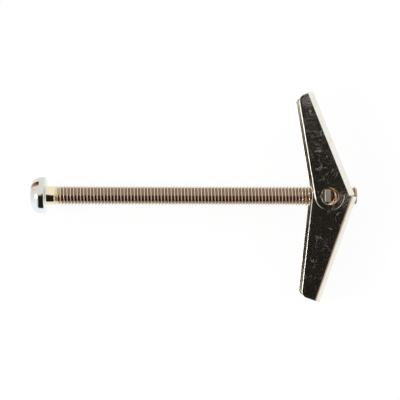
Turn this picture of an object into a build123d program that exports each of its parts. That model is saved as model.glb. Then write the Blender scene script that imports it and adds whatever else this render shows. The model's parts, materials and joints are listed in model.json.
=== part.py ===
from build123d import *
import os
from math import acos, atan2, cos, degrees, hypot, pi, radians, sin, tan

# Spring toggle bolt, millimetres and degrees.
# Frame: the origin is the centre of the head's bearing face, on the bolt's axis. +X runs from the
# head towards the wings, +Y is the side of the upper wing, and +Z is along the wings' pivot, up
# from the surface that the bolt lies on.

# Machine screw
thread_diameter = 6.0
screw_length = 93.0
end_chamfer = 0.65
neck_relief = 0.25
neck_length = 2.4
neck_fillet = 0.45
head_diameter = 11.0
head_height = 4.6
head_rim_height = 1.5
head_rim_chamfer = 0.35
crown_radius = 14.0
crown_half_width = 3.0
slot_width = 1.5
slot_depth = 3.0
slot_turn = 50.0
recess_width = 1.3
recess_length = 5.2
recess_depth = 2.9
recess_taper = 12.0

# Trunnion nut, a pressed plate with a drawn collar and a tongue at each end
plate_thickness = 1.65
plate_ledge = 1.2
plate_wall = 0.85
plate_corner = 1.2
tongue_height = 3.75
tongue_corner = 0.3
collar_wall = 0.8
collar_length = 3.0
collar_edge = 0.4
bore_clearance = 0.05

# Wings, two pressed sheet channels
sheet = 0.9
layer_gap = 0.05
bend_radius = 1.9
wing_length = 30.6
tip_corner = 1.9
pivot_x = 84.35
pivot_hole = 5.1
tongue_setback = 0.62
notch_clearance = 0.6
stop_gap = 0.06
upper_lean = 22.0
upper_reach = 7.1
upper_ear = 4.3
upper_tip_width = 5.15
lower_lean = 19.3
lower_reach = 7.85
lower_ear = 5.0
lower_tip_width = 6.25

# Torsion spring, one wire with a coil round each tongue
wire = 0.7
coil_bore = 4.2
coil_side_gap = 0.05
coil_turn_gap = 0.1
web_clearance = 0.05
bridge_reach = 9.0
bridge_bend = 1.2


# Sizes that follow from the ones above
thread_radius = thread_diameter / 2
neck_radius = thread_radius - neck_relief
plate_width = thread_diameter + 2 * plate_wall
nut_x = pivot_x - tongue_setback
channel_inside = plate_width / 2 + 2 * (coil_side_gap + wire) + coil_turn_gap
inner_layer = channel_inside + sheet
half_width = inner_layer + layer_gap + sheet
toggle_width = 2 * half_width

os.makedirs("parts", exist_ok=True)


# Machine screw: pan head, plain neck and shank, with the thread's form left plain
with BuildPart() as machine_screw:
    with BuildSketch(Plane.XY) as screw_profile:
        with BuildLine():
            crown_end = (-head_height + crown_radius - (crown_radius**2 - crown_half_width**2) ** 0.5,
                         crown_half_width)
            crown = RadiusArc((-head_height, 0), crown_end, crown_radius)
            shoulder = TangentArc(
                crown_end, (-head_rim_height, head_diameter / 2), tangent=crown % 1
            )
            Polyline(
                shoulder @ 1,
                (-head_rim_chamfer, head_diameter / 2),
                (0, head_diameter / 2 - head_rim_chamfer),
                (0, neck_radius),
                (neck_length, neck_radius),
                (neck_length + neck_relief, thread_radius),
                (screw_length - end_chamfer, thread_radius),
                (screw_length, thread_radius - end_chamfer),
                (screw_length, 0),
                (-head_height, 0),
            )
        make_face()
    revolve(axis=Axis.X)
    # the neck runs into the head with a small radius
    neck_root = machine_screw.edges().filter_by(GeomType.CIRCLE).filter_by_position(
        Axis.X, -0.01, 0.01).sort_by(SortBy.RADIUS)[0]
    fillet(neck_root, neck_fillet)
    # screwdriver slot right across the head, with a tapered cross recess through it
    crown_plane = Plane(
        origin=(-head_height, 0, 0),
        x_dir=(0, cos(radians(slot_turn)), sin(radians(slot_turn))),
        z_dir=(1, 0, 0),
    )
    with BuildSketch(crown_plane):
        Rectangle(head_diameter + 1, slot_width)
    extrude(amount=slot_depth, mode=Mode.SUBTRACT)
    with BuildSketch(crown_plane):
        Rectangle(recess_length, recess_width)
        Rectangle(recess_width, recess_length)
    extrude(amount=recess_depth, taper=recess_taper, mode=Mode.SUBTRACT)

machine_screw.part.label = "machine_screw"
export_step(machine_screw.part, "parts/machine_screw.step")


# Trunnion nut: the plate stands across the bolt and its tongues are the wings' pivot
with BuildPart() as trunnion_nut:
    with BuildSketch(Plane.YZ.offset(nut_x - plate_thickness / 2)):
        RectangleRounded(thread_diameter + 2 * plate_ledge, plate_width, plate_corner)
        RectangleRounded(tongue_height, toggle_width, tongue_corner)
    extrude(amount=plate_thickness)
    with BuildSketch(Plane.YZ.offset(nut_x + plate_thickness / 2)):
        Circle(thread_radius + collar_wall)
    extrude(amount=collar_length)
    collar_rim = trunnion_nut.edges().filter_by(GeomType.CIRCLE).sort_by(Axis.X)[-1]
    fillet(collar_rim, collar_edge)
    with BuildSketch(Plane.YZ.offset(nut_x - plate_thickness)):
        Circle(thread_radius + bore_clearance)
    extrude(amount=2 * plate_thickness + collar_length, mode=Mode.SUBTRACT)

trunnion_nut.part.label = "trunnion_nut"
export_step(trunnion_nut.part, "parts/trunnion_nut.step")


def wing_plane(side, lean):
    """The wing's own plane: local x out to the web, local y along the web, z to its outer flange."""
    return Plane(
        origin=(pivot_x, 0, 0),
        x_dir=(cos(radians(lean)), side * sin(radians(lean)), 0),
        z_dir=(0, 0, side),
    )


def make_wing(name, side, lean, reach, ear, tip_width):
    """One wing: a channel section cut to a tapered outline, with pivot holes and a bolt notch."""
    place = wing_plane(side, lean)
    channel_width = half_width + inner_layer
    channel_centre = (half_width - inner_layer) / 2
    # the web stops where its inner corner meets the other wing's, in the plane of the axis
    web_end = (reach - sheet) * tan(radians(lean)) - stop_gap
    across = Plane(
        origin=place.from_local_coords((0, -ear - 1, 0)),
        x_dir=place.x_dir,
        z_dir=place.y_dir,
    )
    with BuildPart() as wing:
        # channel section, open on the side away from the web
        with BuildSketch(across):
            with Locations((reach - channel_width, -channel_centre)):
                RectangleRounded(2 * channel_width, channel_width, bend_radius)
            with Locations((reach - sheet - channel_width, -channel_centre)):
                RectangleRounded(
                    2 * channel_width, channel_width - 2 * sheet, bend_radius - sheet,
                    mode=Mode.SUBTRACT,
                )
        extrude(amount=wing_length + ear + 2)
        # outline of the flanges: straight free edge, rounded tip and square web end, cut back along
        # the plane of the axis to leave room for the other wing, with a round ear at the pivot
        with BuildSketch(place.offset(-half_width)):
            Circle(ear)
            with Locations((reach - tip_width + tip_corner, wing_length - tip_corner)):
                Circle(tip_corner)
            with Locations((reach - bend_radius / 2, (wing_length - web_end) / 2)):
                Rectangle(bend_radius, wing_length + web_end)
            make_hull()
            Polygon(
                (0, 0), (0, -reach), (2 * reach, -reach), (2 * reach, -web_end),
                (reach - sheet, -web_end),
                align=None, mode=Mode.SUBTRACT,
            )
            Circle(ear)
        extrude(amount=toggle_width, mode=Mode.INTERSECT)
        # pivot hole through both flanges
        with BuildSketch(place.offset(-half_width)):
            Circle(pivot_hole / 2)
        extrude(amount=toggle_width, mode=Mode.SUBTRACT)
        # round notch in the web's end, where the bolt passes
        web_face = Plane(
            origin=place.from_local_coords((reach - bend_radius - 1, -web_end, 0)),
            x_dir=place.y_dir,
            z_dir=place.x_dir,
        )
        with BuildSketch(web_face):
            Circle(thread_radius + notch_clearance)
        extrude(amount=bend_radius + 2, mode=Mode.SUBTRACT)
    wing.part.label = name
    return wing.part


wing_upper = make_wing("wing_upper", 1, upper_lean, upper_reach, upper_ear, upper_tip_width)
export_step(wing_upper, "parts/wing_upper.step")

wing_lower = make_wing("wing_lower", -1, lower_lean, lower_reach, lower_ear, lower_tip_width)
export_step(wing_lower, "parts/wing_lower.step")


# Torsion spring: a free leg on the upper web, a coil round each tongue, and a bridge across the
# lower web. One half is swept, and the other half mirrors it in the plane of the axis.
coil_radius = (coil_bore + wire) / 2
coil_inner_z = plate_width / 2 + coil_side_gap + wire / 2
coil_outer_z = channel_inside - coil_side_gap - wire / 2
leg_x = nut_x + coil_radius
upper_web_line = upper_reach - sheet - web_clearance - wire / 2
lower_web_line = lower_reach - sheet - web_clearance - wire / 2
leg_end = (upper_web_line - (leg_x - pivot_x) * cos(radians(upper_lean))) / sin(radians(upper_lean))
bridge_point = wing_plane(-1, lower_lean).from_local_coords((lower_web_line, bridge_reach, 0))
bridge_offset = hypot(bridge_point.X - nut_x, bridge_point.Y)
bridge_angle = degrees(atan2(bridge_point.Y, bridge_point.X - nut_x) + acos(coil_radius / bridge_offset))
coil_turns = 1 - bridge_angle / 360
coil_advance = coil_outer_z - coil_inner_z

with BuildPart() as torsion_spring:
    with BuildLine() as half_wire:
        coil = Helix(
            pitch=coil_advance / coil_turns,
            height=coil_advance,
            radius=coil_radius,
            center=(nut_x, 0, coil_inner_z),
            lefthand=True,
        )
        Line(coil @ 0 - (coil % 0) * leg_end, coil @ 0)
        # the bridge leaves the coil along its turn for half a wire, then runs down the lower web
        bridge_start = coil @ 1 + (coil % 1) * wire / 2
        FilletPolyline(
            coil @ 1,
            bridge_start,
            (bridge_point.X, bridge_point.Y, bridge_start.Z),
            (bridge_point.X, bridge_point.Y, 0),
            radius=(bridge_bend, bridge_bend),
        )
    path = half_wire.wires()[0]
    with BuildSketch(Plane(origin=path @ 0, z_dir=path % 0)):
        Circle(wire / 2)
    sweep(path=path)
    mirror(about=Plane.XY)

torsion_spring.part.label = "torsion_spring"
export_step(torsion_spring.part, "parts/torsion_spring.step")
wire_volume = 2 * path.length * pi * wire**2 / 4
print(f"spring wire {2 * path.length:.1f} mm, {torsion_spring.part.volume:.2f} mm3 of {wire_volume:.2f}")
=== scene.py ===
"""Spring toggle bolt: detailed pieces, plated-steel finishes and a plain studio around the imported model.

Shapes are worked out in millimetres and written to the meshes in metres, in the model's own frame: the
origin is the centre of the head's bearing face, +X runs along the screw to the wings, and +Z is up.
"""

from __future__ import annotations

import json
import logging
import math
from dataclasses import dataclass, field
from enum import Enum

import bmesh
import bpy
from mathutils import Matrix, Vector

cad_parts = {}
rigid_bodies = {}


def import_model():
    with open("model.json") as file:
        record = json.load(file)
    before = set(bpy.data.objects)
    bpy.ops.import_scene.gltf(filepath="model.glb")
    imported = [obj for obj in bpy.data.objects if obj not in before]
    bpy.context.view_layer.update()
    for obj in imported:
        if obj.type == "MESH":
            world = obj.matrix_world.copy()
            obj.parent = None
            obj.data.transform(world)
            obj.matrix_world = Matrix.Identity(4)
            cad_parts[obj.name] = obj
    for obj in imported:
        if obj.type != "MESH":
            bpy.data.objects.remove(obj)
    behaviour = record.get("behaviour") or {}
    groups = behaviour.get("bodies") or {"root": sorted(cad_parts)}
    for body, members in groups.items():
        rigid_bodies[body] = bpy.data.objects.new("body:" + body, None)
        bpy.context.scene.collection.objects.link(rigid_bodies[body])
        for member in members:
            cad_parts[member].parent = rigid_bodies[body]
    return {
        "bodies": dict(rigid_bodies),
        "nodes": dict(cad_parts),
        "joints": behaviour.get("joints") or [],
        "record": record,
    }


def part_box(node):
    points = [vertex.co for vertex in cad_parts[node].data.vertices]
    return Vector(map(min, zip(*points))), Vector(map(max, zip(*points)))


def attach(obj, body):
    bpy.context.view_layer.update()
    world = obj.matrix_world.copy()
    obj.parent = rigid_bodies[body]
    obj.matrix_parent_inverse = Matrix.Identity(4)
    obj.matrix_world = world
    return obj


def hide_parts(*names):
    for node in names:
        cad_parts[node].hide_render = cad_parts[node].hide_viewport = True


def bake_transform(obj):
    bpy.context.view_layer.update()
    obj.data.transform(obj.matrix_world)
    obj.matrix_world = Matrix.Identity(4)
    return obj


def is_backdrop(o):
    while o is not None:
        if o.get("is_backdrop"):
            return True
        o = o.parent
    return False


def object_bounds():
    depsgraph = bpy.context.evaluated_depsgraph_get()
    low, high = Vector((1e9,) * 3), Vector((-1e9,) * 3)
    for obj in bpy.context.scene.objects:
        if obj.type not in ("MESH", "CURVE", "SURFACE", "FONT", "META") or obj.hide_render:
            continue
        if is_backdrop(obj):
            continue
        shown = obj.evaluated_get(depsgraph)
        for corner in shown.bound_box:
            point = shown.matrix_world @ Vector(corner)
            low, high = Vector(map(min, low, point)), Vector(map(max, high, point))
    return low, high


LOG = logging.getLogger("toggle_bolt")
MILLIMETRE = 0.001
FULL_TURN = 2 * math.pi
WELD = 1e-4
NEARLY_FLAT = math.radians(0.4)
X_AXIS = Vector((1, 0, 0))
Z_AXIS = Vector((0, 0, 1))
WHITE = (1.0, 1.0, 1.0)
# a colour Mix node's own places for its two colours and its result
MIX_FIRST, MIX_SECOND, MIX_RESULT = 6, 7, 2

Point = tuple[float, float]
Colour = tuple[float, float, float]
Shape = bmesh.types.BMesh
Socket = bpy.types.NodeSocket


class Side(Enum):
    """Which side of the screw a wing opens to."""

    UPPER = 1
    LOWER = -1


class Cut(Enum):
    """How one closed shape works on another."""

    ADD = "UNION"
    REMOVE = "DIFFERENCE"
    KEEP = "INTERSECT"


# ---- Shape helpers ----


def arc(centre: Point, radius: float, start: float, end: float, segments: int) -> list[Point]:
    """Points along a circular arc.

    Args:
        centre: The arc's centre.
        radius: Its radius.
        start: The angle of its first point, in degrees.
        end: The angle of its last point, in degrees.
        segments: The number of straight pieces.

    Returns:
        segments + 1 points, both ends among them.
    """
    angles = [math.radians(start + (end - start) * step / segments) for step in range(segments + 1)]
    return [(centre[0] + radius * math.cos(a), centre[1] + radius * math.sin(a)) for a in angles]


def everything(bm: Shape) -> list[bmesh.types.BMElem]:
    """All of a shape's vertices, edges and faces."""
    return bm.verts[:] + bm.edges[:] + bm.faces[:]


def only_verts(geom: list[bmesh.types.BMElem]) -> list[bmesh.types.BMVert]:
    """The vertices among an operator's results."""
    return [item for item in geom if isinstance(item, bmesh.types.BMVert)]


def copy_within(bm: Shape) -> list[bmesh.types.BMVert]:
    """Doubles a shape in its own place and gives the copy's vertices."""
    return only_verts(bmesh.ops.duplicate(bm, geom=everything(bm))["geom"])


def turn_on_x(bm: Shape, degrees: float) -> None:
    """Turns a shape about the X axis."""
    turn = Matrix.Rotation(math.radians(degrees), 3, "X")
    bmesh.ops.rotate(bm, cent=(0, 0, 0), matrix=turn, verts=bm.verts)


def prism(outline: list[Vector], along: Vector) -> Shape:
    """A closed shape made by extruding one face.

    Args:
        outline: The face's corners in order.
        along: The way and distance that it is extruded.

    Returns:
        A new bmesh with its normals outward.
    """
    bm = bmesh.new()
    face = bm.faces.new([bm.verts.new(point) for point in outline])
    extruded = bmesh.ops.extrude_face_region(bm, geom=[face])["geom"]
    bmesh.ops.translate(bm, verts=only_verts(extruded), vec=along)
    bmesh.ops.recalc_face_normals(bm, faces=bm.faces)
    return bm


def turned(profile: list[Point], steps: int) -> Shape:
    """A closed shape turned about the X axis.

    Args:
        profile: (x, radius) points, whose ends lie on the axis.
        steps: The number of steps in the full turn.

    Returns:
        A new bmesh with its normals outward.
    """
    bm = bmesh.new()
    points = [bm.verts.new((x, radius, 0)) for x, radius in profile]
    edges = [bm.edges.new(pair) for pair in zip(points, points[1:])]
    bmesh.ops.spin(
        bm, geom=points + edges, cent=(0, 0, 0), axis=X_AXIS, angle=FULL_TURN, steps=steps, use_merge=True
    )
    bmesh.ops.remove_doubles(bm, verts=bm.verts, dist=WELD)
    bmesh.ops.dissolve_degenerate(bm, edges=bm.edges, dist=WELD)
    bmesh.ops.recalc_face_normals(bm, faces=bm.faces)
    return bm


def as_object(name: str, bm: Shape) -> bpy.types.Object:
    """Writes a shape to a new object in the scene.

    Args:
        name: The object's name and its mesh's.
        bm: The shape, which is used up.

    Returns:
        The object, at the origin.
    """
    mesh = bpy.data.meshes.new(name)
    bm.to_mesh(mesh)
    bm.free()
    made = bpy.data.objects.new(name, mesh)
    bpy.context.scene.collection.objects.link(made)
    return made


def combine(base: Shape, tool: Shape, cut: Cut) -> Shape:
    """One closed shape worked on by another. Both are used up.

    Args:
        base: The shape that is worked on.
        tool: The shape that is added, taken away or kept within.
        cut: Which of these.

    Returns:
        A new bmesh of the result.
    """
    holders = [as_object("base", base), as_object("tool", tool)]
    modifier = holders[0].modifiers.new("cut", "BOOLEAN")
    modifier.operation = cut.value
    modifier.solver = "EXACT"
    modifier.object = holders[1]
    result = bmesh.new()
    result.from_object(holders[0], bpy.context.evaluated_depsgraph_get())
    for holder in holders:
        mesh = holder.data
        bpy.data.objects.remove(holder)
        bpy.data.meshes.remove(mesh)
    bmesh.ops.remove_doubles(result, verts=result.verts, dist=WELD)
    bmesh.ops.dissolve_degenerate(result, edges=result.edges, dist=WELD)
    return result


def soften(
    bm: Shape, width: float, segments: int, sharper_than: float = 35.0, within: float = math.inf
) -> None:
    """Rounds a shape's sharp edges, and holds every corner inside the box that the shape had.

    Args:
        bm: The shape, changed in place.
        width: How far the rounding reaches from the edge.
        segments: The pieces across it.
        sharper_than: The smallest angle between two faces that is rounded, in degrees.
        within: Only edges this near the Z axis are rounded.
    """
    corners = [vert.co.copy() for vert in bm.verts]
    low = Vector(min(corner[axis] for corner in corners) for axis in range(3))
    high = Vector(max(corner[axis] for corner in corners) for axis in range(3))
    bmesh.ops.dissolve_limit(bm, angle_limit=NEARLY_FLAT, verts=bm.verts, edges=bm.edges)
    limit = math.radians(sharper_than)
    sharp = [edge for edge in bm.edges if edge.is_manifold and edge.calc_face_angle(0.0) > limit]
    sharp = [edge for edge in sharp if all(vert.co.xy.length < within for vert in edge.verts)]
    bmesh.ops.bevel(
        bm,
        geom=sharp,
        offset=width,
        offset_type="OFFSET",
        segments=segments,
        profile=0.5,
        affect="EDGES",
        clamp_overlap=False,
        material=-1,
    )
    for vert in bm.verts:
        vert.co = Vector(min(max(value, a), b) for value, a, b in zip(vert.co, low, high))
    bmesh.ops.remove_doubles(bm, verts=bm.verts, dist=WELD)


def finished_piece(
    name: str,
    bm: Shape,
    material: bpy.types.Material,
    smooth_under: float = 40.0,
    even: bool = True,
) -> bpy.types.Object:
    """Turns a shape in millimetres into a piece in metres.

    Args:
        name: The piece's name.
        bm: Its shape, which is used up.
        material: Its finish.
        smooth_under: Faces that meet at less than this many degrees shade as one surface.
        even: Whether large faces keep flat shading beside their rounded edges.

    Returns:
        The new object, at the origin.
    """
    bmesh.ops.scale(bm, vec=(MILLIMETRE,) * 3, verts=bm.verts)
    piece = as_object(name, bm)
    mesh = piece.data
    mesh.materials.clear()
    mesh.materials.append(material)
    mesh.polygons.foreach_set("material_index", [0] * len(mesh.polygons))
    mesh.shade_smooth()
    mesh.set_sharp_from_angle(angle=math.radians(smooth_under))
    if even:
        weighted = piece.modifiers.new("even_normals", "WEIGHTED_NORMAL")
        weighted.keep_sharp = True
        weighted.weight = 80
    LOG.info("%s: %d faces", name, len(mesh.polygons))
    return piece


def place_piece(piece: bpy.types.Object, body: str, slot: str, *nodes: str) -> None:
    """Ties a piece to the body it moves with and hides the nodes that it stands for.

    Args:
        piece: The piece.
        body: The body's name.
        slot: The material slot's name; not used.
        *nodes: The nodes that the piece replaces.
    """
    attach(piece, body)
    if nodes:
        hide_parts(*nodes)


# ---- Finishes ----


@dataclass(frozen=True)
class Mottle:
    """Patches of a noise: how many in a metre, how broken up, and where they start and are full."""

    scale: float
    detail: float
    low: float
    high: float
    turn: float = 0.0


@dataclass(frozen=True)
class Scratch:
    """One family of marks: thin lines through a noise, shown where a slower noise is high enough."""

    turn: float
    stretch: float
    scale: float
    width: float
    rare: float


@dataclass(frozen=True)
class Scuff:
    """A worn spot: swirls or streaks round a centre, fading out from its core to its radius."""

    centre: Vector
    radius: float
    tint: Colour
    rings: float
    strength: float = 1.0
    core: float = 0.35
    swirl: float = 7.0
    swirl_detail: float = 3.0
    swirl_scale: float = 2.0
    arc_span: Point = (0.62, 0.95)


CURVED_AND_STRAIGHT = (
    Scratch(turn=23.0, stretch=1.0, scale=430.0, width=0.012, rare=0.60),
    Scratch(turn=96.0, stretch=1.0, scale=520.0, width=0.010, rare=0.62),
    Scratch(turn=17.0, stretch=9.0, scale=150.0, width=0.010, rare=0.61),
    Scratch(turn=118.0, stretch=8.0, scale=150.0, width=0.009, rare=0.61),
)
SCRATCH_PATCH_SCALE = 460.0
SCRATCH_PATCH_FADE = 0.08
FINE_SPECKS = Mottle(scale=3300.0, detail=2.0, low=0.54, high=0.72)
FINER_SPECKS = Mottle(scale=7000.0, detail=1.0, low=0.56, high=0.80, turn=30.0)
FINER_SHARE = 0.6
SPECK_GROUPS = Mottle(scale=210.0, detail=3.0, low=0.18, high=0.80)
CLOUDS = Mottle(scale=260.0, detail=4.0, low=0.38, high=0.64)
DEEP_CLOUDS = Mottle(scale=598.0, detail=3.0, low=0.45, high=0.70, turn=40.0)


class NodeBench:
    """A short hand for building one node tree."""

    def __init__(self, tree: bpy.types.NodeTree) -> None:
        """Empties the tree and keeps it."""
        self.tree = tree
        tree.nodes.clear()

    def add(self, kind: str, inputs: dict | None = None, **settings: object) -> bpy.types.Node:
        """A new node.

        Args:
            kind: The node's type name, without its ShaderNode prefix.
            inputs: A socket to link or a value to set, for each input by its name or place.
            **settings: Properties of the node, set by name.

        Returns:
            The node.
        """
        node = self.tree.nodes.new("ShaderNode" + kind)
        for name, value in settings.items():
            setattr(node, name, value)
        for key, value in (inputs or {}).items():
            if isinstance(value, Socket):
                self.tree.links.new(value, node.inputs[key])
            else:
                node.inputs[key].default_value = value
        return node

    def coordinates(self, kind: str = "Object") -> Socket:
        """One kind of coordinates."""
        return self.add("TexCoord").outputs[kind]

    def axes(self, kind: str = "Object") -> list[Socket]:
        """One kind of coordinates, split into X, Y and Z."""
        split = self.add("SeparateXYZ", {"Vector": self.coordinates(kind)})
        return [split.outputs[axis] for axis in "XYZ"]

    def placed(self, scale: Colour = WHITE, turn: float = 0.0) -> Socket:
        """Object coordinates, turned about Z and then scaled.

        Args:
            scale: Repeats in a metre along each axis.
            turn: Degrees about Z.

        Returns:
            The vector socket.
        """
        rotation = (0, 0, math.radians(turn))
        turned_by = self.add("Mapping", {"Vector": self.coordinates(), "Rotation": rotation})
        scaled_by = self.add("Mapping", {"Vector": turned_by.outputs["Vector"], "Scale": scale})
        return scaled_by.outputs["Vector"]

    def noise(self, vector: Socket, scale: float, detail: float = 3.0) -> Socket:
        """Smooth noise over a vector socket."""
        return self.add("TexNoise", {"Vector": vector, "Scale": scale, "Detail": detail}).outputs["Fac"]

    def ramp(self, source: Socket, low: float, high: float) -> Socket:
        """A smooth rise from 0 at low to 1 at high, which may be below low."""
        inputs = {"Value": source, "From Min": low, "From Max": high}
        return self.add("MapRange", inputs, interpolation_type="SMOOTHSTEP").outputs["Result"]

    def ramp_mm(self, source: Socket, span: Point) -> Socket:
        """A smooth rise over a span in millimetres."""
        return self.ramp(source, span[0] * MILLIMETRE, span[1] * MILLIMETRE)

    def mottled(self, mottle: Mottle) -> Socket:
        """Patches of a noise, from 0 between them to 1 in them."""
        noise = self.noise(self.placed(turn=mottle.turn), mottle.scale, mottle.detail)
        return self.ramp(noise, mottle.low, mottle.high)

    def maths(self, operation: str, first: Socket | float, second: Socket | float = 0.0) -> Socket:
        """A Math node on sockets or numbers."""
        return self.add("Math", {0: first, 1: second}, operation=operation).outputs["Value"]

    def times(self, first: Socket | float, second: Socket | float) -> Socket:
        """Two values multiplied."""
        return self.maths("MULTIPLY", first, second)

    def blend(self, fac: Socket, first: Socket | Colour, second: Socket | Colour) -> Socket:
        """A colour between two others.

        Args:
            fac: How much of the second colour there is.
            first: The colour at 0.
            second: The colour at 1.

        Returns:
            The blended colour.
        """
        sides = [side if isinstance(side, Socket) else (*side, 1.0) for side in (first, second)]
        inputs = {"Factor": fac, MIX_FIRST: sides[0], MIX_SECOND: sides[1]}
        return self.add("Mix", inputs, data_type="RGBA").outputs[MIX_RESULT]

    def shaded(self, kind: str, share: Socket, first: Socket, second: Socket) -> None:
        """Ends the tree with two shaders mixed, where share is how much of the second there is."""
        mix = self.add("MixShader", {0: share, 1: first, 2: second})
        self.add(kind, {"Surface": mix.outputs["Shader"]})


@dataclass(frozen=True)
class PlatedSteel:
    """Zinc-plated steel: a mirror-like film with colour clouds, fine scratches and a frost of specks."""

    name: str
    film: Colour
    cloud: Colour
    deep: Colour
    roughness: float
    scratch_strength: float = 1.0
    grain: float = 1.0
    ripple: float = 0.05
    scuffs: tuple[Scuff, ...] = ()
    deep_share: float = 0.55
    scratch_tint: Colour = (0.78, 0.77, 0.72)
    scratch_tint_share: float = 0.3
    wear_share: float = 0.42
    wear_roughness: float = 0.30
    wear_depth: float = 0.04
    uneven_scale: float = 900.0
    uneven_roughness: float = 0.04
    ripple_scale: float = 420.0
    bump_strength: float = 0.5
    bump_distance: float = 0.0004

    def scratches(self, bench: NodeBench) -> Socket:
        """Short curved marks and hair-thin straight ones, each set broken up by a slower noise.

        Args:
            bench: Where the nodes are made.

        Returns:
            How strongly a scratch shows.
        """
        total: Socket | float = 0.0
        for mark in CURVED_AND_STRAIGHT:
            scale = (mark.scale, mark.scale * mark.stretch, mark.scale)
            fine = bench.noise(bench.placed(scale, mark.turn), 1.0, 2.0)
            away = bench.maths("ABSOLUTE", bench.maths("SUBTRACT", fine, 0.5))
            line = bench.maths("SUBTRACT", 1.0, bench.ramp(away, 0.0, mark.width))
            slow = bench.noise(bench.placed((SCRATCH_PATCH_SCALE,) * 3, mark.turn), 1.0, 1.0)
            patch = bench.ramp(slow, mark.rare, mark.rare + SCRATCH_PATCH_FADE)
            total = bench.maths("MAXIMUM", total, bench.times(line, patch))
        return bench.times(total, self.scratch_strength)

    def grains(self, bench: NodeBench) -> Socket:
        """A light, uneven frost of fine specks.

        Args:
            bench: Where the nodes are made.

        Returns:
            How strongly the specks show.
        """
        finer = bench.times(bench.mottled(FINER_SPECKS), FINER_SHARE)
        both = bench.maths("MAXIMUM", bench.mottled(FINE_SPECKS), finer)
        return bench.times(bench.times(both, bench.mottled(SPECK_GROUPS)), self.grain)

    def scuffed(self, bench: NodeBench, scuff: Scuff) -> Socket:
        """One worn spot.

        Args:
            bench: Where the nodes are made.
            scuff: The spot.

        Returns:
            How strongly it shows.
        """
        ends = {0: bench.coordinates(), 1: scuff.centre * MILLIMETRE}
        away = bench.add("VectorMath", ends, operation="SUBTRACT").outputs["Vector"]
        length = bench.add("VectorMath", {0: away}, operation="LENGTH")
        near = bench.ramp_mm(length.outputs["Value"], (scuff.radius, scuff.radius * scuff.core))
        swirls = {"Vector": away, "Scale": scuff.rings, "Distortion": scuff.swirl}
        swirls |= {"Detail": scuff.swirl_detail, "Detail Scale": scuff.swirl_scale}
        wave = bench.add("TexWave", swirls, wave_type="RINGS", rings_direction="SPHERICAL")
        arcs = bench.ramp(wave.outputs["Fac"], *scuff.arc_span)
        return bench.times(bench.times(arcs, near), scuff.strength)

    def tinted(self, bench: NodeBench, film: Socket) -> Socket:
        """The film's colour where the finish differs over the piece. Here it does not."""
        return film

    def make(self) -> bpy.types.Material:
        """Builds the material.

        Returns:
            The material, with every node in place.
        """
        material = bpy.data.materials.new(self.name)
        material.use_nodes = True
        bench = NodeBench(material.node_tree)
        scratch = self.scratches(bench)
        film = bench.blend(bench.mottled(CLOUDS), self.film, self.cloud)
        film = bench.blend(bench.times(bench.mottled(DEEP_CLOUDS), self.deep_share), film, self.deep)
        film = self.tinted(bench, film)
        film = bench.blend(bench.times(scratch, self.scratch_tint_share), film, self.scratch_tint)
        scratch_wear = bench.times(scratch, self.wear_share)
        wear = bench.maths("MAXIMUM", scratch_wear, bench.times(self.grains(bench), self.wear_share))
        for scuff in self.scuffs:
            spot = self.scuffed(bench, scuff)
            film = bench.blend(spot, film, scuff.tint)
            wear = bench.maths("MAXIMUM", wear, spot)
        uneven = bench.noise(bench.placed(), self.uneven_scale, 3.0)
        rough = bench.maths("ADD", self.roughness, bench.times(uneven, self.uneven_roughness))
        rough = bench.maths("ADD", rough, bench.times(wear, self.wear_roughness))
        ripple = bench.noise(bench.placed(), self.ripple_scale, 2.0)
        height = bench.times(ripple, self.ripple)
        height = bench.maths("SUBTRACT", height, bench.times(wear, self.wear_depth))
        bumps = {"Strength": self.bump_strength, "Distance": self.bump_distance, "Height": height}
        normal = bench.add("Bump", bumps).outputs["Normal"]
        surface = {"Metallic": 1.0, "Base Color": film, "Roughness": rough, "Normal": normal}
        plated = bench.add("BsdfPrincipled", surface)
        bench.add("OutputMaterial", {"Surface": plated.outputs["BSDF"]})
        return material


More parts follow.
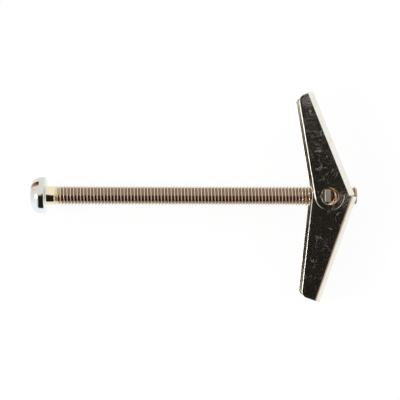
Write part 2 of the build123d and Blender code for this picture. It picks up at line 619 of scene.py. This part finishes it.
@dataclass(frozen=True)
class ScrewPlate(PlatedSteel):
    """The screw's finish: pale on the head, coppery in its slot, yellow on the neck, brown on the thread,
    with painted shade in the thread's roots and a painted highlight on its crests.

    Each span gives, in millimetres, where a colour starts and where it is full.
    """

    head: Colour = (0.66, 0.69, 0.64)
    crown: Colour = (0.80, 0.87, 0.90)
    neck: Colour = (0.86, 0.77, 0.53)
    # painted shade for the thread's roots and a painted highlight for its crests
    groove_shade: Colour = (0.35, 0.27, 0.20)
    crest: Colour = (0.85, 0.76, 0.66)
    recess: Colour = (0.84, 0.68, 0.54)
    slot_turn: float = 50.0
    slot_half: float = 0.82
    slot_sharp: float = 0.97
    # radii where the painted root shade and the painted crest highlight start and are full
    groove_shade_span: Point = (2.72, 2.48)
    crest_highlight_span: Point = (2.80, 2.92)
    neck_span: Point = (5.5, 2.4)
    crown_span: Point = (0.5, -3.0)
    head_span: Point = (1.9, 0.9)
    recess_span: Point = (-1.2, -1.5)
    blotch_scale: float = 500.0
    blotch_reach: float = 2.0

    def tinted(self, bench: NodeBench, film: Socket) -> Socket:
        """Blends from the head's colour to the neck's and the thread's, paints shade into the thread's
        roots and a highlight onto its crests, and colours the slot.

        Args:
            bench: Where the nodes are made.
            film: The colour before.

        Returns:
            The colour after.
        """
        along, y, z = bench.axes()
        radius = bench.maths("SQRT", bench.maths("ADD", bench.times(y, y), bench.times(z, z)))
        # painted shade: the thread's roots darken towards the root radius
        film = bench.blend(bench.ramp_mm(radius, self.groove_shade_span), film, self.groove_shade)
        # painted highlight: the thread's crests pale towards the crest radius
        film = bench.blend(bench.ramp_mm(radius, self.crest_highlight_span), film, self.crest)
        film = bench.blend(bench.ramp_mm(along, self.neck_span), film, self.neck)
        blotch = bench.noise(bench.placed(), self.blotch_scale, 3.0)
        edge = bench.maths("ADD", along, bench.times(blotch, self.blotch_reach * MILLIMETRE))
        head = bench.blend(bench.ramp_mm(y, self.crown_span), self.head, self.crown)
        film = bench.blend(bench.ramp_mm(edge, self.head_span), film, head)
        turn = math.radians(self.slot_turn)
        across = bench.maths("ADD", bench.times(y, -math.sin(turn)), bench.times(z, math.cos(turn)))
        slot_span = (self.slot_half, self.slot_half * self.slot_sharp)
        inside = bench.ramp_mm(bench.maths("ABSOLUTE", across), slot_span)
        on_head = bench.ramp_mm(along, self.recess_span)
        return bench.blend(bench.times(inside, on_head), film, self.recess)


@dataclass(frozen=True)
class ShadedNutPlate(PlatedSteel):
    """The nut's finish: a dark film that is painted shade for the nut deep between the wings, and paler on
    the sheared ends of its tongues.
    """

    end: Colour = (0.50, 0.50, 0.42)
    end_span: Point = (6.8, 7.1)

    def tinted(self, bench: NodeBench, film: Socket) -> Socket:
        """Blends to the ends' colour at the tongues' ends, where the painted shade stops."""
        height = bench.maths("ABSOLUTE", bench.axes()[2])
        return bench.blend(bench.ramp_mm(height, self.end_span), film, self.end)


WING_PLATE = PlatedSteel(
    name="bright_zinc_sheet",
    film=(0.86, 0.85, 0.80),
    cloud=(0.87, 0.82, 0.73),
    deep=(0.77, 0.77, 0.69),
    roughness=0.07,
    scuffs=(
        Scuff(Vector((78.0, 28.2, 7.3)), radius=3.4, tint=(0.62, 0.62, 0.56), rings=480.0, strength=0.42),
        Scuff(Vector((89.0, -1.0, 6.4)), radius=4.2, tint=(0.74, 0.62, 0.38), rings=560.0, strength=0.42),
    ),
)
SCREW_PLATE = ScrewPlate(
    name="yellow_zinc_screw",
    film=(0.53, 0.405, 0.31),
    cloud=(0.59, 0.46, 0.355),
    deep=(0.50, 0.36, 0.26),
    roughness=0.09,
    scratch_strength=0.25,
    grain=0.35,
    ripple=0.03,
    scuffs=(
        Scuff(Vector((-3.2, 2.0, 4.3)), radius=1.7, tint=(0.70, 0.46, 0.32), rings=170.0, strength=0.8),
    ),
)
# painted shade: a dark film for the yellow zinc nut deep between the wings
SHADED_NUT_PLATE = ShadedNutPlate(
    name="yellow_zinc_nut",
    film=(0.20, 0.17, 0.12),
    cloud=(0.24, 0.18, 0.11),
    deep=(0.12, 0.10, 0.07),
    roughness=0.30,
    scratch_strength=0.5,
)
SPRING_WIRE = PlatedSteel(
    name="coppery_spring_wire",
    film=(0.84, 0.50, 0.30),
    cloud=(0.88, 0.60, 0.40),
    deep=(0.56, 0.30, 0.17),
    roughness=0.16,
    scratch_strength=0.2,
    grain=0.3,
    ripple=0.02,
)


# ---- Machine screw ----


@dataclass
class MachineScrew:
    """Pan-head screw with a slot and a cross recess, a plain neck and a rolled thread."""

    finish: bpy.types.Material
    length: float = 93.0
    head_radius: float = 5.5
    head_height: float = 4.6
    rim_height: float = 1.5
    rim_round: float = 0.3
    crown_radius: float = 14.0
    crown_half_width: float = 3.0
    head_steps: int = 96
    neck_radius: float = 2.75
    neck_length: float = 2.4
    neck_fillet: float = 0.45
    neck_overlap: float = 0.2
    slot_width: float = 1.5
    slot_depth: float = 3.0
    slot_turn: float = 50.0
    recess_width: float = 1.3
    recess_length: float = 5.2
    recess_depth: float = 2.9
    recess_floor: Point = (0.45, 0.75)
    slot_spare: float = 2.0
    recess_spare: float = 0.5
    pitch: float = 1.0
    crest_radius: float = 2.93
    root_radius: float = 2.40
    crest_flat: float = 0.14
    crest_run: float = 0.05
    crest_ease: Colour = (0.17, 0.06, 0.02)
    root_flat: float = 0.16
    root_run: float = 0.06
    root_ease: Point = (0.03, 0.16)
    thread_lead: float = 2.5
    thread_start: float = 1.3
    fade_turns: float = 1.5
    fade_lead: float = 0.3
    fade_sink: float = 0.06
    end_margin: float = 0.02
    rod_start: float = 1.0
    rod_margin: float = 0.1
    turn_steps: int = 60
    smooth_under: float = 32.0

    def shoulder(self) -> list[Point]:
        """The arc that leaves the crown at the crown's own slope and ends on the rim.

        Returns:
            (x, radius) points, the crown's last one first.
        """
        sag = self.crown_radius - math.sqrt(self.crown_radius**2 - self.crown_half_width**2)
        slope = math.asin(self.crown_half_width / self.crown_radius)
        start = Vector((sag - self.head_height, self.crown_half_width))
        end = Vector((-self.rim_height, self.head_radius))
        chord = end - start
        normal = Vector((math.cos(slope), -math.sin(slope)))
        radius = chord.length_squared / (2 * chord.dot(normal))
        centre = start + normal * radius
        first = math.degrees(math.atan2(start.y - centre.y, start.x - centre.x))
        last = math.degrees(math.atan2(end.y - centre.y, end.x - centre.x))
        return arc(tuple(centre), radius, first, last, 14)

    def head_profile(self) -> list[Point]:
        """The outline of head and neck.

        Returns:
            (x, radius) points from the crown's middle to the neck's end.
        """
        slope = math.degrees(math.asin(self.crown_half_width / self.crown_radius))
        crown_centre = (self.crown_radius - self.head_height, 0)
        crown = arc(crown_centre, self.crown_radius, 180, 180 - slope, 8)
        rim_centre = (-self.rim_round, self.head_radius - self.rim_round)
        rim = arc(rim_centre, self.rim_round, 90, 0, 5)
        root_centre = (self.neck_fillet, self.neck_radius + self.neck_fillet)
        root = arc(root_centre, self.neck_fillet, 180, 270, 6)
        neck_end = self.neck_length + self.neck_overlap
        tail = [(neck_end, self.neck_radius), (neck_end, 0.0)]
        return [(crown[0][0], 0.0)] + crown[1:] + self.shoulder()[1:] + rim + root + tail

    def slot_cutter(self) -> Shape:
        """The slot's cutter.

        Returns:
            A bar as deep as the slot, turned to its angle.
        """
        bm = bmesh.new()
        bmesh.ops.create_cube(bm, size=1.0)
        height = self.slot_depth + self.slot_spare
        bmesh.ops.scale(bm, vec=(height, 4 * self.head_radius, self.slot_width), verts=bm.verts)
        middle = -self.head_height + self.slot_depth - height / 2
        bmesh.ops.translate(bm, vec=(middle, 0, 0), verts=bm.verts)
        turn_on_x(bm, self.slot_turn)
        return bm

    def recess_cutter(self, turn: float) -> Shape:
        """The cutter of two opposite arms of the cross recess.

        Args:
            turn: The arms' angle about the screw's axis, in degrees.

        Returns:
            A closed bar that narrows with depth.
        """
        half_long, half_wide = self.recess_length / 2, self.recess_width / 2
        corners = [(half_long, half_wide), (-half_long, half_wide)]
        corners += [(-half_long, -half_wide), (half_long, -half_wide)]
        top = -self.head_height - self.recess_spare
        depth = self.recess_depth + self.recess_spare
        bm = prism([Vector((top, y, z)) for y, z in corners], X_AXIS * depth)
        floor = [vert for vert in bm.verts if vert.co.x > top + depth / 2]
        bmesh.ops.scale(bm, vec=(1.0, *self.recess_floor), verts=floor)
        turn_on_x(bm, turn)
        return bm

    def head(self) -> Shape:
        """Head and neck in one.

        Returns:
            The turned shape with its slot and recess cut.
        """
        bm = turned(self.head_profile(), self.head_steps)
        bm = combine(bm, self.slot_cutter(), Cut.REMOVE)
        for quarter in (0.0, 90.0):
            bm = combine(bm, self.recess_cutter(self.slot_turn + quarter), Cut.REMOVE)
        return bm

    def thread_profile(self) -> list[Point]:
        """The thread's outline over one pitch, with the corners of root and crest eased.

        Returns:
            (x, radius) points, from root to root.
        """
        flank = self.root_flat / 2
        crest = (self.pitch - self.crest_flat) / 2
        rise = self.crest_radius - self.root_radius
        rising = [
            (0.0, self.root_radius),
            (flank, self.root_radius + self.root_ease[0] * rise),
            (flank + self.root_run, self.root_radius + self.root_ease[1] * rise),
            (crest - self.crest_run, self.crest_radius - self.crest_ease[0] * rise),
            (crest, self.crest_radius - self.crest_ease[1] * rise),
        ]
        top = (self.pitch / 2, self.crest_radius - self.crest_ease[2] * rise)
        return rising + [top] + [(self.pitch - x, radius) for x, radius in reversed(rising)]

    def thread(self) -> Shape:
        """The thread by itself.

        Returns:
            One closed helical body from the neck to the screw's end.
        """
        bm = bmesh.new()
        start = self.neck_length - self.thread_lead * self.pitch
        points = [bm.verts.new((start + x, radius, 0)) for x, radius in self.thread_profile()]
        edges = [bm.edges.new(pair) for pair in zip(points, points[1:])]
        bmesh.ops.spin(
            bm,
            geom=points + edges,
            cent=(0, 0, 0),
            axis=X_AXIS,
            dvec=X_AXIS * (self.pitch / self.turn_steps),
            angle=FULL_TURN,
            steps=self.turn_steps,
        )
        # doubled again and again until the turns run past the end
        turns = 1
        while start + turns * self.pitch < self.length + self.pitch:
            bmesh.ops.translate(bm, verts=copy_within(bm), vec=X_AXIS * (turns * self.pitch))
            turns *= 2
        bmesh.ops.remove_doubles(bm, verts=bm.verts, dist=WELD)
        for where, clear in ((self.thread_start, False), (self.length, True)):
            bmesh.ops.bisect_plane(
                bm,
                geom=everything(bm),
                plane_co=(where, 0, 0),
                plane_no=X_AXIS,
                clear_outer=clear,
                clear_inner=not clear,
            )
        self.fade_in(bm)
        bmesh.ops.remove_doubles(bm, verts=bm.verts, dist=WELD)
        rims = [edge for edge in bm.edges if edge.is_boundary]
        bmesh.ops.holes_fill(bm, edges=rims, sides=0)
        bmesh.ops.recalc_face_normals(bm, faces=bm.faces)
        return bm

    def fade_in(self, bm: Shape) -> None:
        """Lets the thread rise out of the neck over its first turns.

        Args:
            bm: The thread, changed in place.
        """
        plain = self.neck_radius - self.fade_sink
        fade_length = self.fade_turns * self.pitch
        for vert in bm.verts:
            share = (vert.co.x - self.neck_length + self.fade_lead) / fade_length
            if share >= 1.0:
                continue
            share = max(share, 0.0)
            share = share * share * (3 - 2 * share)
            radius = math.hypot(vert.co.y, vert.co.z)
            wanted = plain + (radius - plain) * share
            vert.co.y *= wanted / radius
            vert.co.z *= wanted / radius

    def blank(self) -> Shape:
        """The rod that the thread is kept within.

        Returns:
            A closed rod with its far end chamfered.
        """
        outer = self.crest_radius + self.rod_margin
        tip_radius = self.root_radius - self.rod_margin
        chamfer_start = self.length - (outer - tip_radius)
        end = self.length - self.end_margin
        rod = [(self.rod_start, 0.0), (self.rod_start, outer), (chamfer_start, outer)]
        return turned(rod + [(end, tip_radius), (end, 0.0)], self.turn_steps)

    def build(self) -> None:
        """Makes the screw's piece."""
        thread = combine(self.thread(), self.blank(), Cut.KEEP)
        whole = combine(thread, self.head(), Cut.ADD)
        piece = finished_piece("screw", whole, self.finish, self.smooth_under)
        place_piece(piece, "screw", "screw_steel", "machine_screw")


# ---- Trunnion nut ----


@dataclass
class TrunnionNut:
    """Pressed plate with a tapped collar and a tongue at each end."""

    finish: bpy.types.Material
    centre_x: float
    half_width: float
    thickness: float = 1.65
    plate_height: float = 8.4
    plate_half_width: float = 3.85
    plate_corner: float = 1.2
    tongue_height: float = 3.75
    collar_radius: float = 3.8
    collar_length: float = 3.0
    collar_round: float = 0.4
    bore_radius: float = 3.03
    bore_spare: Point = (3.0, 1.0)
    edge_round: float = 0.2
    turn_steps: int = 64

    def outline(self) -> list[Vector]:
        """The plate with its tongues, in the plane across the screw.

        Returns:
            Its corners in order.
        """
        half_height = self.plate_height / 2
        tongue = self.tongue_height / 2
        corner = self.plate_corner
        quarter = arc((half_height - corner, self.plate_half_width - corner), corner, 0, 90, 6)
        quarter += [(tongue, self.plate_half_width), (tongue, self.half_width)]
        points = quarter + [(-y, z) for y, z in reversed(quarter)]
        points += [(-y, -z) for y, z in quarter] + [(y, -z) for y, z in reversed(quarter)]
        back = self.centre_x - self.thickness / 2
        return [Vector((back, y, z)) for y, z in points]

    def build(self) -> None:
        """Makes the nut's piece."""
        bm = prism(self.outline(), X_AXIS * self.thickness)
        front = self.centre_x + self.thickness / 2
        end = front + self.collar_length
        inside = front - self.collar_round
        rim_centre = (end - self.collar_round, self.collar_radius - self.collar_round)
        rim = arc(rim_centre, self.collar_round, 90, 0, 5)
        collar = [(inside, 0.0), (inside, self.collar_radius)] + rim + [(end, 0.0)]
        bm = combine(bm, turned(collar, self.turn_steps), Cut.ADD)
        low, high = self.centre_x - self.bore_spare[0], end + self.bore_spare[1]
        bore = [(low, 0.0), (low, self.bore_radius), (high, self.bore_radius), (high, 0.0)]
        bm = combine(bm, turned(bore, self.turn_steps), Cut.REMOVE)
        soften(bm, self.edge_round, 3, sharper_than=60.0)
        piece = finished_piece("nut", bm, self.finish)
        place_piece(piece, "nut", "nut_steel", "trunnion_nut")


# ---- Wings ----


@dataclass
class Wing:
    """One pressed channel: web, two bends and two tapering flanges with pivot holes."""

    finish: bpy.types.Material
    side: Side
    pivot: Vector
    lean: float
    reach: float
    ear: float
    tip_width: float
    half_width: float = 7.3
    inner_layer: float = 6.35
    sheet: float = 0.9
    bend_radius: float = 1.9
    bend_steps: int = 10
    length: float = 30.6
    tip_corner: float = 1.9
    hole_radius: float = 2.55
    notch_radius: float = 3.6
    notch_depth: float = 6.0
    drill_steps: int = 56
    stop_gap: float = 0.06
    edge_round: float = 0.15
    hole_round: float = 0.10
    hole_reach: float = 0.05
    overrun: float = 2.0

    @property
    def web_end(self) -> float:
        """How far the web runs past the pivot, to meet the other wing's."""
        return (self.reach - self.sheet) * math.tan(math.radians(self.lean)) - self.stop_gap

    def place(self) -> Matrix:
        """From the wing's own axes to the model's.

        Returns:
            The move that takes X out to the web, Y along it to the tip and Z to its outer flange.
        """
        turn = math.radians(self.lean)
        sign = self.side.value
        out = Vector((math.cos(turn), sign * math.sin(turn), 0))
        along = Vector((-math.sin(turn), sign * math.cos(turn), 0))
        frame = Matrix((out, along, Z_AXIS * sign)).transposed().to_4x4()
        return Matrix.Translation(self.pivot) @ frame

    def outline(self) -> list[Point]:
        """The flanges' outline.

        Returns:
            Its points, counter-clockwise from the web's end.
        """
        tip_centre = Vector((self.reach - self.tip_width + self.tip_corner, self.length - self.tip_corner))
        heading = math.degrees(math.atan2(tip_centre.y, tip_centre.x))
        splay = math.degrees(math.acos((self.ear - self.tip_corner) / tip_centre.length))
        tangent = heading + splay
        cut = math.degrees(math.atan2(self.web_end, self.reach - self.sheet))
        beyond = self.reach + self.overrun
        points = [(beyond, -self.web_end), (beyond, self.length)]
        points += arc(tuple(tip_centre), self.tip_corner, 90, tangent, 8)
        points += arc((0, 0), self.ear, tangent, 360 - cut, 40)
        points += [(self.reach - self.sheet, -self.web_end)]
        return points

    def section(self) -> list[Point]:
        """The channel's section across the web.

        Returns:
            (out, to the outer flange) points round the sheet.
        """
        outer, inner = self.bend_radius, self.bend_radius - self.sheet
        centre = self.reach - self.bend_radius
        top, bottom = self.half_width, -self.inner_layer
        open_end = -self.ear - self.overrun
        steps = self.bend_steps
        points = [(open_end, bottom)]
        points += arc((centre, bottom + outer), outer, 270, 360, steps)
        points += arc((centre, top - outer), outer, 0, 90, steps)
        points += [(open_end, top), (open_end, top - self.sheet)]
        points += arc((centre, top - outer), inner, 90, 0, steps)
        points += arc((centre, bottom + outer), inner, 0, -90, steps)
        points += [(open_end, bottom + self.sheet)]
        return points

    def drill(self, radius: float, depth: float) -> Shape:
        """A round cutter.

        Args:
            radius: Its radius.
            depth: Its length, half of it on each side of the origin.

        Returns:
            A closed cylinder along Z.
        """
        bm = bmesh.new()
        bmesh.ops.create_cone(
            bm, cap_ends=True, segments=self.drill_steps, radius1=radius, radius2=radius, depth=depth
        )
        return bm

    def build(self) -> None:
        """Makes the wing's piece."""
        low = -self.ear - self.overrun
        run = Vector((0, self.length - low + self.overrun, 0))
        channel = prism([Vector((x, low, z)) for x, z in self.section()], run)
        depth = self.half_width + self.overrun
        blank = prism([Vector((x, y, -depth)) for x, y in self.outline()], Z_AXIS * (2 * depth))
        bm = combine(channel, blank, Cut.KEEP)
        bm = combine(bm, self.drill(self.hole_radius, 2 * depth), Cut.REMOVE)
        notch = self.drill(self.notch_radius, self.notch_depth)
        across = Matrix.Rotation(math.pi / 2, 3, "Y")
        bmesh.ops.rotate(notch, cent=(0, 0, 0), matrix=across, verts=notch.verts)
        bmesh.ops.translate(notch, vec=(self.reach, -self.web_end, 0), verts=notch.verts)
        bm = combine(bm, notch, Cut.REMOVE)
        soften(bm, self.hole_round, 2, within=self.hole_radius + self.hole_reach)
        soften(bm, self.edge_round, 4, sharper_than=50.0)
        bmesh.ops.transform(bm, matrix=self.place(), verts=bm.verts)
        side = self.side.name.lower()
        piece = finished_piece(f"{side}_channel", bm, self.finish)
        place_piece(piece, f"{side}_wing", "wing_steel", f"wing_{side}")


# ---- Torsion spring ----


@dataclass
class TorsionSpring:
    """One wire: two free legs on the upper web, a coil round each tongue, a bridge on the lower web."""

    finish: bpy.types.Material
    coil_centre: Vector
    bridge_corner: Vector
    leg_end: float
    wire_radius: float = 0.35
    coil_radius: float = 2.45
    inner_z: float = 4.25
    outer_z: float = 5.05
    bend_radius: float = 1.2
    ring_points: int = 14
    coil_steps: int = 60
    straight_steps: int = 30
    bend_steps: int = 8
    bend_share: float = 0.7
    smooth_under: float = 60.0

    def ring(self, bm: Shape, centre: Vector, along: Vector) -> list[bmesh.types.BMVert]:
        """A ring of the wire's section.

        Args:
            bm: Where it is made.
            centre: Its centre.
            along: The wire's direction there.

        Returns:
            The ring's vertices.
        """
        circle = bmesh.ops.create_circle(
            bm, cap_ends=False, segments=self.ring_points, radius=self.wire_radius
        )
        turn = Z_AXIS.rotation_difference(along.normalized()).to_matrix().to_4x4()
        bmesh.ops.transform(bm, matrix=Matrix.Translation(centre) @ turn, verts=circle["verts"])
        return circle["verts"]

    def sweep(self, centres: list[Vector]) -> Shape:
        """A length of round wire.

        Args:
            centres: Points along its centre line.

        Returns:
            A new closed bmesh.
        """
        bm = bmesh.new()
        rows = []
        for index, centre in enumerate(centres):
            before = centres[max(index - 1, 0)]
            after = centres[min(index + 1, len(centres) - 1)]
            rows.append(self.ring(bm, centre, after - before))
        for pair in zip(rows, rows[1:]):
            touched = {edge for vert in pair[0] + pair[1] for edge in vert.link_edges}
            open_edges = [edge for edge in touched if len(edge.link_faces) < 2]
            bmesh.ops.bridge_loops(bm, edges=[edge for edge in open_edges if self.in_one_row(edge, pair)])
        for row in (rows[0], rows[-1]):
            bmesh.ops.contextual_create(bm, geom=row)
        bmesh.ops.recalc_face_normals(bm, faces=bm.faces)
        return bm

    @staticmethod
    def in_one_row(edge: bmesh.types.BMEdge, rows: tuple[list[bmesh.types.BMVert], ...]) -> bool:
        """True if both ends of an edge lie in the same ring."""
        return any(all(vert in row for vert in edge.verts) for row in rows)

    def coil_point(self, turn: float, height: float) -> Vector:
        """A point of a coil's centre line.

        Args:
            turn: Its angle about the tongue, in degrees.
            height: Its height.

        Returns:
            The point.
        """
        angle = math.radians(turn)
        offset = Vector((math.cos(angle), math.sin(angle), 0)) * self.coil_radius
        return Vector((self.coil_centre.x, self.coil_centre.y, height)) + offset

    def bridge_angle(self) -> float:
        """Where the wire leaves the coil for the bridge.

        Returns:
            The angle about the tongue, in degrees.
        """
        away = self.bridge_corner - self.coil_centre
        open_angle = math.acos(self.coil_radius / away.to_2d().length)
        return math.degrees(math.atan2(away.y, away.x) + open_angle)

    def both_sides(self, bm: Shape) -> Shape:
        """Adds a wire's mirror image in the plane of the screw's axis.

        Args:
            bm: The wire above that plane, changed in place.

        Returns:
            The same bmesh.
        """
        bmesh.ops.scale(bm, vec=(1, 1, -1), verts=copy_within(bm))
        bmesh.ops.recalc_face_normals(bm, faces=bm.faces)
        return bm

    def coils(self) -> Shape:
        """The turns round both tongues.

        Returns:
            A new bmesh.
        """
        last = self.bridge_angle() - 360
        shares = [step / self.coil_steps for step in range(self.coil_steps + 1)]
        pitch = self.outer_z - self.inner_z
        centres = [self.coil_point(share * last, self.inner_z + share * pitch) for share in shares]
        return self.both_sides(self.sweep(centres))

    def straight(self, start: Vector, end: Vector) -> list[Vector]:
        """Evenly spaced points from one place to another, both among them."""
        steps = self.straight_steps
        return [start.lerp(end, step / steps) for step in range(steps + 1)]

    def legs(self) -> Shape:
        """The free legs, straight up to the upper web.

        Returns:
            A new bmesh.
        """
        start = self.coil_point(0, self.inner_z)
        slope = (self.outer_z - self.inner_z) / (FULL_TURN * self.coil_radius)
        end = Vector((start.x, self.leg_end, start.z - slope * self.leg_end))
        return self.both_sides(self.sweep(self.straight(start, end)))

    def bridge(self) -> Shape:
        """The wire from both coils to the lower web and across it.

        Returns:
            A new bmesh.
        """
        start = self.coil_point(self.bridge_angle(), self.outer_z)
        corner = Vector((self.bridge_corner.x, self.bridge_corner.y, self.outer_z))
        down = (corner - start).normalized()
        bend_start = corner - down * self.bend_radius
        centres = self.straight(start, bend_start)
        bend_centre = bend_start - Z_AXIS * self.bend_radius
        for step in range(1, self.bend_steps + 1):
            angle = math.pi / 2 * step / self.bend_steps
            offset = down * math.sin(angle) + Z_AXIS * math.cos(angle)
            centres.append(bend_centre + offset * self.bend_radius)
        centres += [Vector((point.x, point.y, -point.z)) for point in reversed(centres)]
        return self.sweep(centres)

    def bend_with(self, piece: bpy.types.Object) -> None:
        """Bakes a length of wire's placement into its mesh and hides the imported spring.

        Args:
            piece: The wire.
        """
        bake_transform(piece)
        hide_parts("torsion_spring")

    def build(self) -> None:
        """Makes the spring's pieces: the coils stay with the nut, and the legs and the bridge stay where
        they are made.
        """
        shapes = {"spring_coils": self.coils, "spring_legs": self.legs, "spring_bridge": self.bridge}
        coils, legs, bridge = (
            finished_piece(name, shape(), self.finish, self.smooth_under, even=False)
            for name, shape in shapes.items()
        )
        place_piece(coils, "nut", "spring_wire", "torsion_spring")
        self.bend_with(legs)
        self.bend_with(bridge)


# ---- Studio ----


@dataclass
class Studio:
    """Pale floor, a bright room with a dark spot above the bolt, one soft lamp and the camera.

    The room's spans, centres and widths are shares of a unit direction. Lengths are in metres.
    """

    floor_height: float
    view_centre: Vector = field(default_factory=lambda: Vector((0.04618, -0.00130, 0.0)))
    camera_distance: float = 0.395
    lens: float = 118.7
    sensor: float = 36.0
    camera_roll: float = 0.16
    clip: Point = (0.01, 50.0)
    horizon_span: Point = (-0.02, 0.06)
    figure_across: Point = (0.14, -0.17)
    figure_along: Point = (0.66, 0.20)
    spot_centre: float = 0.09
    spot_half: Point = (0.12, 0.15)
    spot_span: Point = (1.8, 0.9)
    warm_side: Vector = field(default_factory=lambda: Vector((0.50, -0.25, 0.83)))
    warm_span: Point = (21.0, 7.0)
    warm_share: float = 0.38
    warm_colour: Colour = (0.42, 0.27, 0.17)
    warm_depth: Point = (0.0, 0.6)
    dark_colour: Colour = (0.012, 0.011, 0.009)
    dark_depth: Point = (0.4, 1.0)
    floor_size: float = 12.0
    floor_colour: Colour = (0.92, 0.92, 0.92)
    floor_glow: float = 1.03
    floor_glow_share: float = 0.9
    lamp_place: Vector = field(default_factory=lambda: Vector((-0.80, -0.10, 0.62)))
    lamp_size: float = 0.32
    lamp_power: float = 3.0

    def world(self) -> None:
        """A white room with a dark spot straight above and a dim figure at the bolt's lower side."""
        world = bpy.data.worlds.new("studio")
        bpy.context.scene.world = world
        world.use_nodes = True
        bench = NodeBench(world.node_tree)
        along, across, up = bench.axes("Generated")
        figure_x = bench.ramp(bench.maths("ABSOLUTE", along), *self.figure_along)
        figure = bench.times(bench.ramp(across, *self.figure_across), figure_x)
        from_spot = bench.maths("ABSOLUTE", bench.maths("SUBTRACT", along, self.spot_centre))
        parts = [
            bench.maths("POWER", bench.maths("DIVIDE", offset, half), 2.0)
            for offset, half in zip((from_spot, bench.maths("ABSOLUTE", across)), self.spot_half)
        ]
        spot = bench.ramp(bench.maths("ADD", *parts), *self.spot_span)
        ends = {0: bench.coordinates("Generated"), 1: self.warm_side.normalized()}
        lobe = bench.add("VectorMath", ends, operation="DOT_PRODUCT")
        cosines = [math.cos(math.radians(angle)) for angle in self.warm_span]
        warm = bench.ramp(lobe.outputs["Value"], *cosines)
        dark = bench.times(bench.maths("MAXIMUM", figure, spot), bench.ramp(up, *self.horizon_span))
        dark = bench.maths("MAXIMUM", dark, bench.times(warm, self.warm_share))
        room = bench.blend(bench.ramp(dark, *self.warm_depth), WHITE, self.warm_colour)
        room = bench.blend(bench.ramp(dark, *self.dark_depth), room, self.dark_colour)
        shown, plain = (
            bench.add("Background", {"Color": colour}).outputs["Background"]
            for colour in (room, (*WHITE, 1.0))
        )
        bench.shaded("OutputWorld", bench.add("LightPath").outputs["Is Camera Ray"], shown, plain)

    def floor(self) -> None:
        """A white floor that keeps a faint shadow."""
        bm = bmesh.new()
        bmesh.ops.create_grid(bm, x_segments=1, y_segments=1, size=self.floor_size / 2)
        centre = (self.view_centre.x, self.view_centre.y, self.floor_height)
        bmesh.ops.translate(bm, vec=centre, verts=bm.verts)
        floor = as_object("floor", bm)
        material = bpy.data.materials.new("white_board")
        material.use_nodes = True
        bench = NodeBench(material.node_tree)
        board = bench.add("BsdfDiffuse", {"Color": (*self.floor_colour, 1.0)})
        glow = bench.add("Emission", {"Color": (*WHITE, 1.0), "Strength": self.floor_glow})
        path = bench.add("LightPath")
        seen = bench.maths("MAXIMUM", path.outputs["Is Camera Ray"], path.outputs["Is Glossy Ray"])
        seen = bench.maths("MAXIMUM", seen, path.outputs["Is Transmission Ray"])
        share = bench.times(seen, self.floor_glow_share)
        bench.shaded("OutputMaterial", share, board.outputs["BSDF"], glow.outputs["Emission"])
        floor.data.materials.append(material)
        floor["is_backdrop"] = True

    def lamp(self) -> None:
        """A soft square lamp that faces the bolt."""
        light = bpy.data.lights.new("key", "AREA")
        light.size = self.lamp_size
        light.energy = self.lamp_power
        lamp = bpy.data.objects.new("key", light)
        lamp.location = self.view_centre + self.lamp_place
        lamp.rotation_mode = "QUATERNION"
        lamp.rotation_quaternion = self.lamp_place.to_track_quat("Z", "Y")
        bpy.context.scene.collection.objects.link(lamp)

    def camera(self) -> None:
        """A camera that looks straight down on the bolt."""
        data = bpy.data.cameras.new("camera")
        data.lens = self.lens
        data.sensor_width = self.sensor
        data.clip_start, data.clip_end = self.clip
        camera = bpy.data.objects.new("camera", data)
        camera.location = self.view_centre + Z_AXIS * self.camera_distance
        camera.rotation_euler = (0, 0, math.radians(self.camera_roll))
        bpy.context.scene.collection.objects.link(camera)
        bpy.context.scene.camera = camera

    def build(self) -> None:
        """Sets the room, floor, lamp and camera."""
        for part in (self.world, self.floor, self.lamp, self.camera):
            part()
        bpy.context.scene.view_settings.view_transform = "Standard"
        LOG.info("studio ready")


# ---- The whole bolt ----


def main() -> None:
    """Builds the bolt's pieces and the studio."""
    logging.basicConfig(level=logging.INFO, format="%(name)s: %(message)s")
    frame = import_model()
    cad_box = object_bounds()

    hinges = [joint for joint in frame["joints"] if "pos_m" in joint]
    pivots = {joint["name"]: Vector(joint["pos_m"]) / MILLIMETRE for joint in hinges}
    nut_low, nut_high = (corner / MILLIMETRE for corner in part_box("trunnion_nut"))
    spring_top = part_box("torsion_spring")[1] / MILLIMETRE

    MachineScrew(SCREW_PLATE.make()).build()
    nut_centre = nut_low.x + TrunnionNut.thickness / 2
    TrunnionNut(SHADED_NUT_PLATE.make(), centre_x=nut_centre, half_width=nut_high.z).build()
    sheet = WING_PLATE.make()
    pivot = pivots["upper_fold"]
    Wing(sheet, Side.UPPER, pivot, lean=22.0, reach=7.1, ear=4.3, tip_width=5.15).build()
    lower = Wing(sheet, Side.LOWER, pivots["lower_fold"], lean=19.3, reach=7.85, ear=5.0, tip_width=6.25)
    lower.build()
    web_clearance, bridge_along = 0.4, 9.0
    spring = TorsionSpring(
        SPRING_WIRE.make(),
        coil_centre=Vector((nut_centre, 0, 0)),
        bridge_corner=lower.place() @ Vector((lower.reach - lower.sheet - web_clearance, bridge_along, 0)),
        leg_end=spring_top.y,
    )
    spring.build()
    Studio(floor_height=cad_box[0].z).build()


if __name__ == "__main__":
    main()
